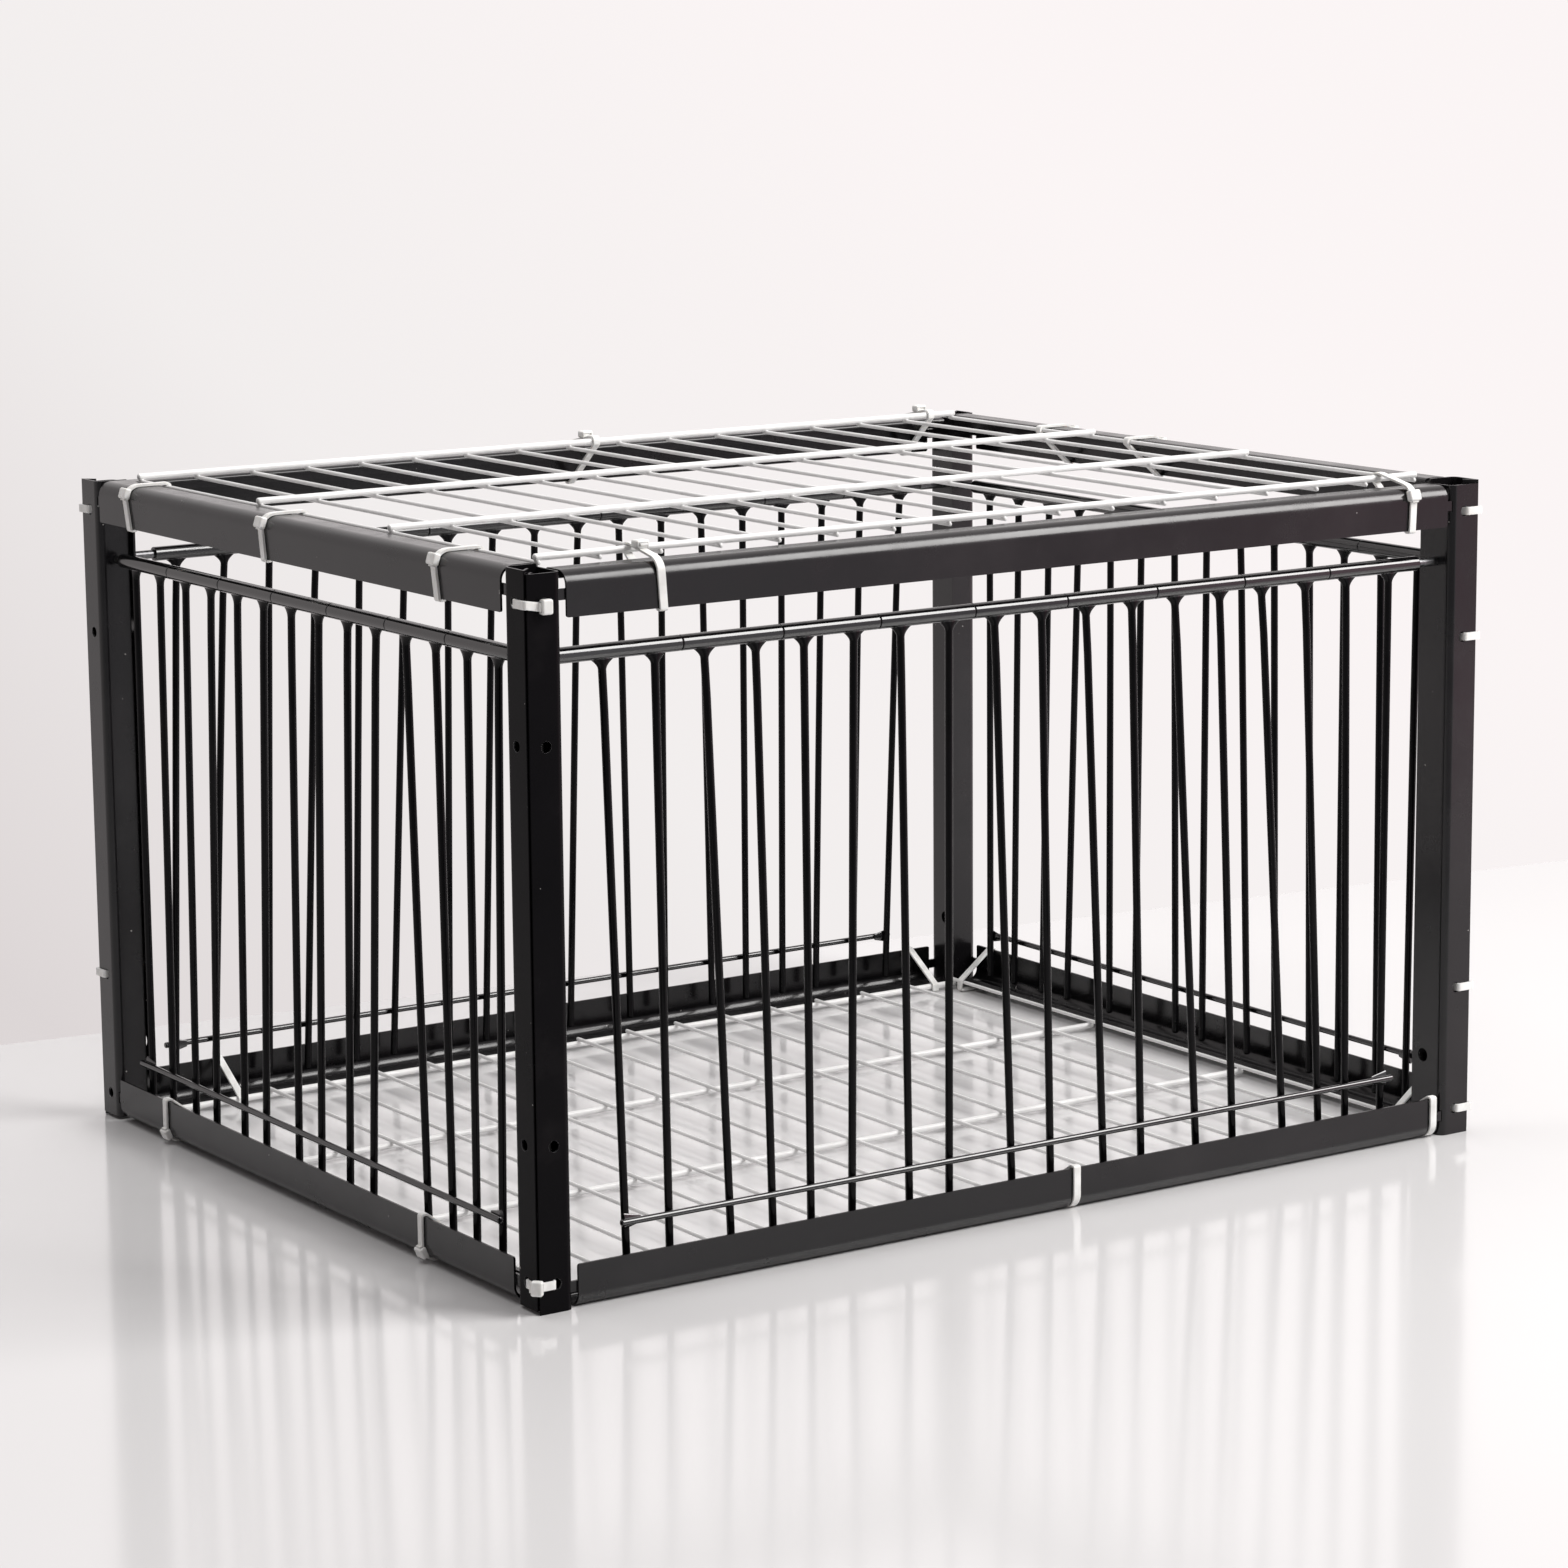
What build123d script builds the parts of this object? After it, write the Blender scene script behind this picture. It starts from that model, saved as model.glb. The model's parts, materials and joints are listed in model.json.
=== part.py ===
from build123d import *
from math import sqrt
import os

os.makedirs("parts", exist_ok=True)

# Cage outside, millimetres. The long panels face front and back, the short ones left and right.
cage_length = 500.0
cage_depth = 400.0
cage_height = 300.0

# Folded sheet of the panel frames
sheet = 1.0
stile_width = 17.0
rail_height = 18.5
channel_depth = 16.0
rail_lip = 5.0
rail_shoulder = 6.0
stile_shoulder = 3.5
lip_radius = 2.0
fold_radius = 0.3
mitre_slit = 0.5
mitre_reach = 5.6
end_gap = 2.0
side_lift = 1.6
rail_corner = 1.0
flange_gap = 1.0
long_flange = 20.0
spare_hole = 6.2
spare_hole_inset = 12.8
spare_hole_level = 36.0

# Tongues that hook each rail into its stiles
tongue_height = 4.5
tongue_thickness = 1.2
tongue_root = 10.0
tongue_reach = 4.0
slot_clearance = 0.35

# Swinging bobs: two bars on a sleeve that turns on a rod
pivot_drop = 35.0
row_inset = 10.0
rod_diameter = 4.0
rod_hole_clearance = 0.1
rod_overhang = 2.0
running_clearance = 0.05
sleeve_diameter = 6.6
long_pitch = 48.5
short_pitch = 50.4
sleeve_gap = 0.4
bar_diameter = 3.4
bar_offset = 12.4
bar_toe = 2.0
bar_tip_height = 8.0
tip_round = 1.2
flare_radius = 5.0
flare_sink = 1.0

# Each row starts this far from one stile of its panel, its end sleeves may run on past the row,
# and its bobs hang a little out of plumb
row_starts = {"front": 12.85, "back": 15.25, "left": 5.8, "right": 0.8}
row_tails = {"front": (10.0, 4.5), "back": (0.0, 0.0), "left": (0.0, 0.0), "right": (0.0, 0.0)}
row_leans = {
    "front": [5.3, 7.9, -0.7, 1.4, 7.3, 8.7, 12.1, 13.5, 1.5],
    "back": [8.4, 4.0, -1.2, -0.5, 7.1, 7.5, 11.1, 10.0, 11.3],
    "left": [-2.4, -8.8, -10.7, -9.1, -12.8, 5.9, -4.1],
    "right": [0.5, -2.2, -6.3, -1.3, 1.5, 7.0, 1.7],
}

# Stop bar across the outside of each row
stop_diameter = 2.8
stop_height = 30.0
stop_gap = 0.4
stop_knob = 2.4
socket_clearance = 0.05
socket_length = 6.5
socket_base = 7.0
socket_nose = 4.4
socket_wall = 0.8

# White wire mesh of the roof and the floor
long_wire = 3.0
cross_wire = 1.6
long_wire_count = 4
cross_wire_spacing = 28.7
mesh_edge_inset = 23.0
mesh_end_inset = 20.4
wire_overhang = 1.8
wire_bite = 0.2
roof_mesh_rise = 3.0

# Cable ties
tie_width = 3.6
tie_thickness = 1.1
tie_gap = 0.15
tie_bend = 0.8
tie_hole = 4.8
tie_inset = 8.6
tie_leg = 7.7
tie_end_level = 12.0
tie_inner_level = 69.0
head_length = 5.4
head_width = 6.4
head_height = 3.4
head_chamfer = 0.8
notch_clearance = 0.4
foot_clearance = 6.2

# Values that follow from the ones above
pivot_height = cage_height - pivot_drop
short_flange = stile_width - sheet - flange_gap
tie_levels = [tie_end_level, tie_inner_level, cage_height - tie_inner_level, cage_height - tie_end_level]
tie_offset = tie_gap + tie_thickness / 2
stop_inset = row_inset - bar_diameter / 2 - stop_gap - stop_diameter / 2
cross_level = (long_wire + cross_wire) / 2 - wire_bite
mesh_side = cage_depth / 2 - mesh_edge_inset
mesh_half = cage_length / 2 - mesh_end_inset
long_wire_pitch = 2 * mesh_side / (long_wire_count - 1)
cross_wire_count = 1 + round(2 * mesh_half / cross_wire_spacing)
cross_wire_pitch = 2 * mesh_half / (cross_wire_count - 1)
floor_mesh_rise = tie_thickness + tie_gap + long_wire / 2
roof_wire_level = cage_height + roof_mesh_rise
roof_cross_level = roof_wire_level - cross_level
floor_cross_level = floor_mesh_rise + cross_level


class Panel:
    def __init__(self, name, length, reach, turn, lift, pitch, flange):
        self.name = name
        self.flange = flange
        self.pitch = pitch
        self.half = length / 2
        self.place = Rot(0, 0, turn) * Pos(0, -reach, 0)
        self.lift = lift
        self.top = cage_height + lift
        self.rail_half = length / 2 - stile_width - end_gap
        self.count = int((length - 2 * stile_width - row_starts[name]) // pitch)
        self.row_start = stile_width - length / 2 + row_starts[name]
        self.tails = row_tails[name]
        self.leans = row_leans[name]


panels = {
    "front": Panel("front", cage_length, cage_depth / 2, 0, 0.0, long_pitch, long_flange),
    "back": Panel("back", cage_length, cage_depth / 2, 180, 0.0, long_pitch, long_flange),
    "left": Panel("left", cage_depth, cage_length / 2, -90, side_lift, short_pitch, short_flange),
    "right": Panel("right", cage_depth, cage_length / 2, 90, side_lift, short_pitch, short_flange),
}


def save(name, *solids):
    shape = solids[0] if len(solids) == 1 else Compound(children=list(solids))
    export_step(shape, "parts/" + name + ".step")


def folded(outside, inside, radii):
    # Section of folded sheet between its outer and inner lines, rounded at each outer corner and inside it
    face = make_face(Polyline(*outside, *reversed(inside), close=True))
    for outer, inner, radius in zip(outside[1:-1], inside[1:-1], radii):
        face = fillet(face.vertices().sort_by_distance(outer)[0], radius)
        if radius > sheet:
            face = fillet(face.vertices().sort_by_distance(inner)[0], radius - sheet)
    return face


def box_between(x0, x1, y0, y1, z0, z1):
    block = Box(abs(x1 - x0), abs(y1 - y0), abs(z1 - z0))
    return Pos((x0 + x1) / 2, (y0 + y1) / 2, (z0 + z1) / 2) * block


def rod_along(start, end, diameter):
    axis = Vector(*end) - Vector(*start)
    plane = Plane(origin=start, z_dir=axis)
    return plane * Cylinder(diameter / 2, axis.length, align=(Align.CENTER, Align.CENTER, Align.MIN))


# Panels are drawn in their own place: X along the panel, the outer face at Y 0, Y going inwards.

def rail_middles(panel):
    return [panel.lift + rail_height / 2, panel.top - rail_height / 2]


def make_stile(panel, hand):
    # Open channel: inner flange, outer web, and a corner flange folded in along the mitre. The short panels'
    # inner flanges stop short of the long panels' deeper ones, which also have a spare hole near the floor.
    corner = -panel.half
    inner = corner + stile_width - sheet / 2
    seam = mitre_slit / sqrt(2)
    fold = seam + sheet * (1 + sqrt(2))
    outside = [
        (corner + stile_width, panel.flange),
        (corner + stile_width, 0),
        (corner + seam, 0),
        (corner + mitre_reach, mitre_reach - seam),
    ]
    inside = [
        (corner + stile_width - sheet, panel.flange),
        (corner + stile_width - sheet, sheet),
        (corner + fold, sheet),
        (corner + mitre_reach + sheet / sqrt(2), mitre_reach - seam - sheet / sqrt(2)),
    ]
    section = folded(outside, inside, [stile_shoulder, fold_radius])
    stile = Pos(0, 0, panel.lift) * extrude(section, amount=cage_height)
    for level in tie_levels:
        hole = Pos(corner + tie_inset, sheet / 2, level) * Rot(90, 0, 0) * Cylinder(tie_hole / 2, 4 * sheet)
        stile -= hole
    rod_hole = Cylinder(rod_diameter / 2 + rod_hole_clearance, 4 * sheet)
    stile -= Pos(inner, row_inset, pivot_height) * Rot(0, 90, 0) * rod_hole
    if panel.flange == long_flange:
        spare = Cylinder(spare_hole / 2, 4 * sheet)
        stile -= Pos(inner, spare_hole_inset, spare_hole_level) * Rot(0, 90, 0) * spare
    for middle in rail_middles(panel):
        reach = tongue_height / 2 + slot_clearance
        stile -= box_between(
            corner + stile_width - tongue_reach - slot_clearance, inner + 2 * sheet,
            sheet - slot_clearance, sheet + tongue_thickness + slot_clearance,
            middle - reach, middle + reach,
        )
    return stile if hand < 0 else mirror(stile, Plane.YZ)


def make_rail(panel, top, notches):
    # Folded web, flange and lip, with the free edge of the web towards the bars
    edge = panel.top if top else panel.lift
    inward = -1 if top else 1
    outside = [
        (0, edge + inward * rail_height),
        (0, edge),
        (channel_depth, edge),
        (channel_depth, edge + inward * rail_lip),
    ]
    inside = [
        (sheet, edge + inward * rail_height),
        (sheet, edge + inward * sheet),
        (channel_depth - sheet, edge + inward * sheet),
        (channel_depth - sheet, edge + inward * rail_lip),
    ]
    section = Plane.YZ * folded(outside, inside, [rail_shoulder, lip_radius])
    rail = extrude(section, amount=panel.rail_half, both=True)
    free_edges = rail.edges().filter_by(Axis.Y).filter_by_position(
        Axis.Z, edge + inward * rail_height - 0.1, edge + inward * rail_height + 0.1
    )
    rail = fillet(free_edges, rail_corner)
    middle = edge + inward * rail_height / 2
    for hand in (-1, 1):
        rail += box_between(
            hand * (panel.rail_half - tongue_root), hand * (panel.rail_half + end_gap + tongue_reach),
            sheet, sheet + tongue_thickness,
            middle - tongue_height / 2, middle + tongue_height / 2,
        )
    for at in notches:
        reach = tie_width / 2 + notch_clearance
        rail -= box_between(
            at - reach, at + reach, -sheet, channel_depth + sheet,
            edge - sheet, edge + tie_thickness + notch_clearance,
        )
    return rail


def bob_middle(panel, index):
    return panel.row_start + (index + 0.5) * panel.pitch


def sleeve_ends(panel, index):
    middle = bob_middle(panel, index)
    half = (panel.pitch - sleeve_gap) / 2
    first_tail = panel.tails[0] if index == 0 else 0.0
    last_tail = panel.tails[1] if index == panel.count - 1 else 0.0
    return middle - half - first_tail, middle + half + last_tail


def bar_ends(panel, index, side):
    middle = bob_middle(panel, index)
    head = (middle + side * bar_offset, row_inset, pivot_height)
    lean = panel.leans[index % len(panel.leans)]
    foot = (middle + side * (bar_offset - bar_toe) + lean, row_inset, bar_tip_height)
    return head, foot


def bar_at_stop(panel, index, side):
    head, foot = bar_ends(panel, index, side)
    share = (pivot_height - stop_height) / (pivot_height - bar_tip_height)
    return head[0] + share * (foot[0] - head[0])


def make_flare():
    # Web that spreads the top of a bar into the sleeve
    half = bar_diameter / 2 + flare_radius
    left = CenterArc((-half, -flare_radius), flare_radius, 90, -90)
    right = CenterArc((half, -flare_radius), flare_radius, 180, -90)
    low = Line((-bar_diameter / 2, -flare_radius), (bar_diameter / 2, -flare_radius))
    high = Line((half, 0), (-half, 0))
    face = make_face([left, low, right, high])
    return extrude(Plane.XZ * face, amount=bar_diameter / 2, both=True)


def make_bob(panel, index, stop_side=0):
    low, high = sleeve_ends(panel, index)
    bob = rod_along((low, row_inset, pivot_height), (high, row_inset, pivot_height), sleeve_diameter)
    flare_top = pivot_height - sleeve_diameter / 2 + flare_sink
    for side in (-1, 1):
        head, foot = bar_ends(panel, index, side)
        axis = Vector(*foot) - Vector(*head)
        bar = Cylinder(bar_diameter / 2, axis.length, align=(Align.CENTER, Align.CENTER, Align.MIN))
        bar = fillet(bar.edges().sort_by(Axis.Z)[-1], tip_round)
        bob += Plane(origin=head, z_dir=axis) * bar
        bob += Pos(head[0], row_inset, flare_top) * make_flare()
    bore_start = (low - sleeve_gap, row_inset, pivot_height)
    bore_end = (high + sleeve_gap, row_inset, pivot_height)
    bob -= rod_along(bore_start, bore_end, rod_diameter + 2 * running_clearance)
    if stop_side:
        bob = with_socket(panel, index, stop_side, bob)
    return bob


def with_socket(panel, index, side, bob):
    # The outermost bar carries a tapered socket for the end of the stop bar
    at = bar_at_stop(panel, index, side)
    back = at + side * bar_diameter / 2
    nose = at - side * socket_length
    wedge = make_face(Polyline(
        (back, stop_height - socket_base / 2),
        (nose, stop_height - socket_nose / 2),
        (nose, stop_height + socket_nose / 2),
        (back, stop_height + socket_base / 2),
        close=True,
    ))
    thickness = stop_diameter / 2 + socket_clearance + socket_wall
    inner = row_inset - bar_diameter / 2 + socket_wall
    outer = stop_inset - thickness
    wedge = extrude(Plane.XZ * wedge, amount=-(inner - outer))
    bob += Pos(0, outer, 0) * wedge
    start = (at - panel.pitch / 2, stop_inset, stop_height)
    end = (at + panel.pitch / 2, stop_inset, stop_height)
    return bob - rod_along(start, end, stop_diameter + 2 * socket_clearance)


def make_stop_bar(panel):
    last = panel.count - 1
    low = bar_at_stop(panel, 0, -1) - bar_diameter / 2 - stop_knob
    high = bar_at_stop(panel, last, 1) + bar_diameter / 2 + stop_knob
    bar = rod_along((low, stop_inset, stop_height), (high, stop_inset, stop_height), stop_diameter)
    return chamfer(bar.edges(), 0.5)


def make_mesh(wire_level, cross_height):
    wires = []
    reach = mesh_half + wire_overhang
    for number in range(long_wire_count):
        row = number * long_wire_pitch - mesh_side
        wires.append(rod_along((-reach, row, wire_level), (reach, row, wire_level), long_wire))
    side = mesh_side + wire_overhang
    for number in range(cross_wire_count):
        at = number * cross_wire_pitch - mesh_half
        wires.append(rod_along((at, -side, cross_height), (at, side, cross_height), cross_wire))
    return wires[0].fuse(*wires[1:])


def strap(points, bends):
    # A closed loop of strap seen from its edge, lying on the drawing plane
    face = make_face(FilletPolyline(*points, radius=bends, close=True))
    ring = offset(face, tie_thickness / 2) - offset(face, -tie_thickness / 2)
    return extrude(ring, amount=tie_width / 2, both=True)


def tie_head(length, height):
    block = Box(length, height, head_width)
    return chamfer(block.edges(), head_chamfer)


def roof_tie(panel, at, wire_inset, wire_level, wire_diameter, head):
    bottom = panel.top - rail_height - tie_offset
    clear = wire_diameter / 2 + tie_offset
    over = max(panel.top + tie_offset, wire_level + clear)
    beyond = wire_inset + clear
    points = [
        (-tie_offset, bottom),
        (-tie_offset, panel.top + tie_offset),
        (wire_inset - clear, over),
        (beyond, over),
        (beyond, wire_level - clear / 2),
        (sheet + tie_offset, bottom),
    ]
    loop = strap(points, [tie_bend, tie_bend, tie_bend, clear * 0.9, tie_bend, tie_bend])
    if head == "face":
        head_place = Pos(-tie_gap - head_height / 2, panel.top - head_length / 2)
        loop += head_place * tie_head(head_height, head_length)
    else:
        rise = over + tie_thickness / 2 + head_height / 2
        head_place = Pos(channel_depth - head_length / 4, rise - tie_thickness)
        loop += head_place * tie_head(head_length, head_height)
    return panel.place * (Plane.YZ.offset(at) * loop)


def floor_tie(panel, at, wire_inset, wire_level, wire_diameter, head):
    top = panel.lift + rail_height + tie_offset
    clear = wire_diameter / 2 + tie_offset
    under = tie_thickness / 2 if panel.lift == 0 else panel.lift - tie_offset
    beyond = wire_inset + clear
    points = [
        (-tie_offset, top),
        (sheet + tie_offset, top),
        (beyond, wire_level + clear / 2),
        (beyond, under),
        (-tie_offset, under),
    ]
    loop = strap(points, tie_bend)
    if head == "face":
        rise = under - tie_thickness / 2 + head_length / 2
        loop += Pos(-tie_gap - head_height / 2, rise) * tie_head(head_height, head_length)
    return panel.place * (Plane.YZ.offset(at) * loop)


def corner_tie(panel, hand, level, head):
    # The loop runs round the corner and through one hole of each stile, and pulls to the corner side of both
    points = [
        (-tie_offset, -tie_offset),
        (tie_leg, -tie_offset),
        (tie_leg, tie_leg),
        (-tie_offset, tie_leg),
    ]
    loop = strap(points, tie_bend)
    outside = -tie_gap - head_height / 2
    along = tie_inset - head_length / 6
    if head == "own":
        loop += Pos(along, outside) * tie_head(head_length, head_height)
    elif head == "other":
        loop += Pos(outside, along) * tie_head(head_height, head_length)
    else:
        loop += Rot(0, 0, -45) * Pos(0, outside) * tie_head(head_length, head_height)
    if hand > 0:
        loop = mirror(loop, Plane.YZ)
    return panel.place * (Pos(hand * panel.half, 0, level) * loop)


def in_cross_gap(number):
    # Middle of a gap between two cross wires, counted from the middle of the mesh
    return (cross_wire_count // 2 + number + 0.5) * cross_wire_pitch - mesh_half


def in_long_gap(number, share):
    # Between two long wires, seen from a short panel
    return (number + share) * long_wire_pitch - mesh_side


def foot(name, number, side):
    # Place along the panel of a bar's foot, the bobs counted from one
    return bar_ends(panels[name], number - 1, side)[1][0]


def between_bobs(name, number):
    return (foot(name, number, 1) + foot(name, number + 1, -1)) / 2


def between_feet(name, number):
    return (foot(name, number, -1) + foot(name, number, 1)) / 2


# Ties of the mesh: place along the panel, and where the head sits
roof_ties = {
    "front": [(in_cross_gap(-7), "top"), (in_cross_gap(7) - 6.0, "face")],
    "back": [(in_cross_gap(-1), "top"), (in_cross_gap(-8), "top")],
    "left": [(in_long_gap(0, 0.21), "face"), (in_long_gap(1, 0.33), "face"), (in_long_gap(2, 0.6), "face")],
    "right": [(in_long_gap(2, 0.35), "face"), (in_long_gap(1, 0.75), "face")],
}
floor_ties = {
    "front": [(foot("front", 5, 1) + foot_clearance, "none"), (panels["front"].rail_half - 4.0, "none")],
    "back": [(foot("back", panels["back"].count, -1) - foot_clearance, "none"),
             (14.0 - panels["back"].rail_half, "none")],
    "left": [(between_bobs("left", 1), "face"), (between_feet("left", 6), "face")],
    "right": [(panels["right"].rail_half - 13.0, "face"), (9.0 - panels["right"].rail_half, "face")],
}

# Ties of the corners: panel, which end of it, level, and where the head sits: on its own stile,
# on the other panel's, or across the corner
corner_ties = [
    ("front", -1, tie_levels[3], "own"),
    ("front", -1, tie_levels[0], "across"),
    ("front", 1, tie_levels[3], "other"),
    ("front", 1, tie_levels[2], "other"),
    ("front", 1, tie_levels[1], "other"),
    ("front", 1, tie_levels[0], "other"),
    ("back", 1, tie_levels[3], "own"),
    ("back", 1, tie_levels[1], "own"),
    ("back", -1, tie_levels[3], "own"),
    ("back", -1, tie_levels[0], "own"),
]

for panel in panels.values():
    name = panel.name
    last = panel.count - 1
    notches = [at for at, head in floor_ties[name]] if panel.lift == 0 else []
    save(name + "_stile_a", panel.place * make_stile(panel, -1))
    save(name + "_stile_b", panel.place * make_stile(panel, 1))
    save(name + "_top_rail", panel.place * make_rail(panel, True, []))
    save(name + "_bottom_rail", panel.place * make_rail(panel, False, notches))
    rod_reach = panel.half - stile_width + sheet + rod_overhang
    rod = rod_along((-rod_reach, row_inset, pivot_height), (rod_reach, row_inset, pivot_height), rod_diameter)
    save(name + "_pivot_rod", panel.place * rod)
    save(name + "_stop_bar", panel.place * make_stop_bar(panel))
    first_bob = panel.place * make_bob(panel, 0, -1)
    last_bob = panel.place * make_bob(panel, last, 1)
    save(name + "_end_bobs", first_bob, last_bob)
    for index in range(1, last):
        save(name + "_bob_" + str(index + 1), panel.place * make_bob(panel, index))

save("roof_mesh", make_mesh(roof_wire_level, roof_cross_level))
save("floor_mesh", make_mesh(floor_mesh_rise, floor_cross_level))

roof = []
floor = []
for panel in panels.values():
    ends = panel.lift > 0
    inset = mesh_end_inset if ends else mesh_edge_inset
    diameter = cross_wire if ends else long_wire
    roof_level = roof_cross_level if ends else roof_wire_level
    floor_level = floor_cross_level if ends else floor_mesh_rise
    for at, head in roof_ties[panel.name]:
        roof.append(roof_tie(panel, at, inset, roof_level, diameter, head))
    for at, head in floor_ties[panel.name]:
        floor.append(floor_tie(panel, at, inset, floor_level, diameter, head))
save("roof_ties", *roof)
save("floor_ties", *floor)
save("corner_ties", *[corner_tie(panels[name], hand, level, head) for name, hand, level, head in corner_ties])
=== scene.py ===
import json
import math

import bmesh
import bpy
from mathutils import Matrix, Vector

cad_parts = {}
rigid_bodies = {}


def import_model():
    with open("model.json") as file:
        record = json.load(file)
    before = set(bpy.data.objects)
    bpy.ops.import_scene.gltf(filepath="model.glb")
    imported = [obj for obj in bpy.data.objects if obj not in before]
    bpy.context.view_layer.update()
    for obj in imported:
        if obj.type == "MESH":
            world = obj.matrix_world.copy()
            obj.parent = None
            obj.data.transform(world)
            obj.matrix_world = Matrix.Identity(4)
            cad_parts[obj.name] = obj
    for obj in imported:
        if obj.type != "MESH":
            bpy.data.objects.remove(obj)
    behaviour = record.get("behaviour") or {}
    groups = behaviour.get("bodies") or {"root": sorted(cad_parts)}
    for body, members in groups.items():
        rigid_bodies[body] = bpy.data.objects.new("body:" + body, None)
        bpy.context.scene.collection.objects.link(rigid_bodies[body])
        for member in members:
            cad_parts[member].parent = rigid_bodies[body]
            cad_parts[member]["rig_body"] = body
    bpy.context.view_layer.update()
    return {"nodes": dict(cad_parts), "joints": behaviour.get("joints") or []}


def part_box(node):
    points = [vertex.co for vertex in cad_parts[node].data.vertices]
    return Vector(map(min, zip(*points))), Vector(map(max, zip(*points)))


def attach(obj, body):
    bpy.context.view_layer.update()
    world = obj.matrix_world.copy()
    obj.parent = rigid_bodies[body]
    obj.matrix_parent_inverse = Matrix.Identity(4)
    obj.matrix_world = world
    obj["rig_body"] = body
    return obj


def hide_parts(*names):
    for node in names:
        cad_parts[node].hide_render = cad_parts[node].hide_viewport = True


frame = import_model()        # bodies, nodes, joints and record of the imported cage
mm = 0.001
quarter = math.pi / 2


def metres(**sizes):
    # sizes are written in millimetres
    return {name: size * mm for name, size in sizes.items()}


# Hand tools: selecting, shaping and finishing

def deselect():
    if bpy.context.mode != "OBJECT":
        bpy.ops.object.mode_set(mode="OBJECT")
    bpy.ops.object.select_all(action="DESELECT")


def onlyThis(obj):
    deselect()
    obj.select_set(True)
    bpy.context.view_layer.objects.active = obj


def lies(item, **place):
    # every corner of the item is at these coordinates
    corners = [item.co] if isinstance(item, bmesh.types.BMVert) else [v.co for v in item.verts]
    return all(abs(getattr(c, axis) - value) < 0.02 * mm for c in corners for axis, value in place.items())


def pick(obj, kind, test):
    # edit mode, with only the verts, edges or faces that pass the test selected
    onlyThis(obj)
    bpy.ops.object.mode_set(mode="EDIT")
    bpy.ops.mesh.select_mode(type=kind)
    bpy.ops.mesh.select_all(action="DESELECT")
    shape = bmesh.from_edit_mesh(obj.data)
    for item in {"VERT": shape.verts, "EDGE": shape.edges, "FACE": shape.faces}[kind]:
        if test(item):
            item.select_set(True)
    shape.select_flush_mode()
    bmesh.update_edit_mesh(obj.data)


def extrudeBy(move):
    bpy.ops.mesh.extrude_region_move(TRANSFORM_OT_translate={"value": move})


def bevelPicked(offset, segments, affect="EDGES"):
    bpy.ops.mesh.bevel(offset=offset, segments=segments, affect=affect, clamp_overlap=True)


def settle(obj):
    # place and turn go into the mesh
    onlyThis(obj)
    bpy.ops.object.transform_apply(location=True, rotation=True, scale=True)
    return obj


def addPlane(width, height, centre, turn=(0, 0, 0)):
    deselect()
    bpy.ops.mesh.primitive_plane_add(size=1, location=centre, rotation=turn)
    bpy.context.object.scale = (width, height, 1)
    return settle(bpy.context.object)


def addBlock(low, high):
    deselect()
    centre = (Vector(low) + Vector(high)) / 2
    bpy.ops.mesh.primitive_cube_add(size=1, location=centre)
    bpy.context.object.scale = Vector(high) - Vector(low)
    return settle(bpy.context.object)


def addCylinder(radius, length, centre, axis="Z", sides=24, fill="NGON"):
    deselect()
    turn = {"X": (0, quarter, 0), "Y": (quarter, 0, 0), "Z": (0, 0, 0)}[axis]
    bpy.ops.mesh.primitive_cylinder_add(
        vertices=sides, radius=radius, depth=length, end_fill_type=fill, location=centre, rotation=turn)
    return settle(bpy.context.object)


def applyModifier(obj, kind, **settings):
    onlyThis(obj)
    modifier = obj.modifiers.new(kind.lower(), kind)
    for name, value in settings.items():
        setattr(modifier, name, value)
    bpy.ops.object.modifier_apply(modifier=modifier.name)


def joinAll(objects):
    deselect()
    for obj in objects:
        obj.select_set(True)
    bpy.context.view_layer.objects.active = objects[0]
    if len(objects) > 1:
        bpy.ops.object.join()
    return objects[0]


def combine(obj, others, operation):
    tool = joinAll(others)
    applyModifier(obj, "BOOLEAN", operation=operation, object=tool, solver="EXACT")
    bpy.data.objects.remove(tool)
    return obj


def cut(obj, others):
    return combine(obj, others, "DIFFERENCE")


def weld(obj, others):
    return combine(obj, others, "UNION")


def cleanNormals(obj):
    onlyThis(obj)
    bpy.ops.object.mode_set(mode="EDIT")
    bpy.ops.mesh.select_all(action="SELECT")
    bpy.ops.mesh.remove_doubles(threshold=0.001 * mm)
    bpy.ops.mesh.normals_make_consistent(inside=False)
    bpy.ops.object.mode_set(mode="OBJECT")


def softenEdges(obj, width, segments=2, angle=35):
    applyModifier(obj, "BEVEL", width=width, segments=segments, limit_method="ANGLE",
                  angle_limit=math.radians(angle), use_clamp_overlap=True)


def placedCopy(obj, name, place):
    # a copy with its own mesh, set down in the cage
    twin = obj.copy()
    twin.data = obj.data.copy()
    twin.name = name
    bpy.context.scene.collection.objects.link(twin)
    twin.matrix_world = place
    settle(twin)
    if place.determinant() < 0:
        cleanNormals(twin)
    return twin


def drop(obj):
    bpy.data.objects.remove(obj)


def paintFaces(obj, finish, second, test):
    # the faces that pass the test get the second finish
    obj.data.materials.clear()
    obj.data.materials.append(finish)
    obj.data.materials.append(second)
    pick(obj, "FACE", test)
    obj.active_material_index = 1
    bpy.ops.object.material_slot_assign()
    deselect()


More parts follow.
